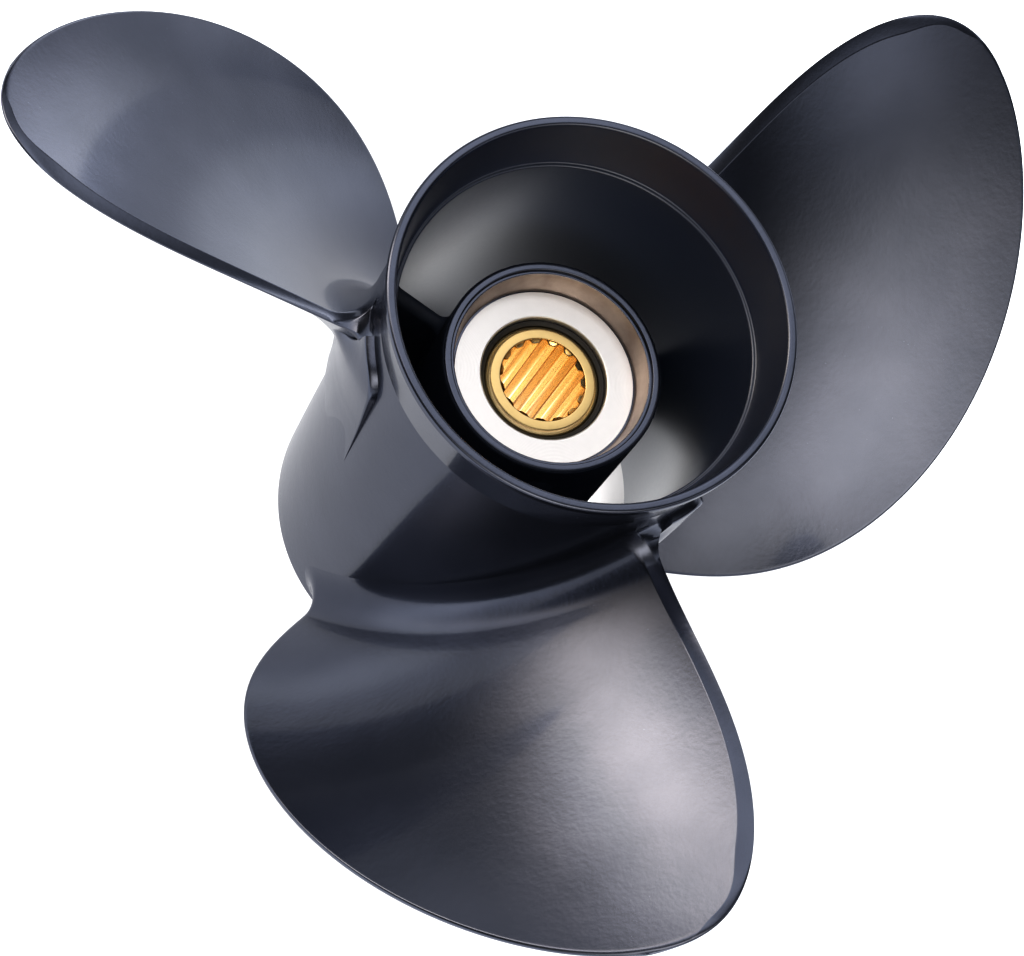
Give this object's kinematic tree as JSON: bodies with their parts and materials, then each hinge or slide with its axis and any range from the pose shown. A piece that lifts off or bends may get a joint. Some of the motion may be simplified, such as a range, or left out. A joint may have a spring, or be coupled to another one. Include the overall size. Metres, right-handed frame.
{
  "type": "outboard motor propeller",
  "caption": "Right-hand propeller with wide blades on a hollow exhaust hub, a flared aft rim, and a rubber-mounted splined brass sleeve for the shaft.",
  "frame": {"origin": "on the shaft axis, in the plane of the barrel's forward end, which the propeller stands on", "axes": "+Z along the shaft axis, pointing aft; +Y through the middle of the root of the first blade"},
  "size_m": [0.2978, 0.289, 0.1575],
  "materials": {
    "painted_casting": "cast aluminium under satin blue-grey paint",
    "machined_aluminium": "fine turned face",
    "brass": "broached, bright",
    "rubber": "matt black"
  },
  "bodies": {
    "root": {"outer_barrel": "painted_casting", "flare_ring": "painted_casting", "inner_hub": "painted_casting", "rib_1": "painted_casting", "rib_2": "painted_casting", "rib_3": "painted_casting", "blade_1": "painted_casting", "blade_2": "painted_casting", "blade_3": "painted_casting", "rubber_bush": "rubber", "spline_sleeve": "brass"}
  },
  "joints": []
}
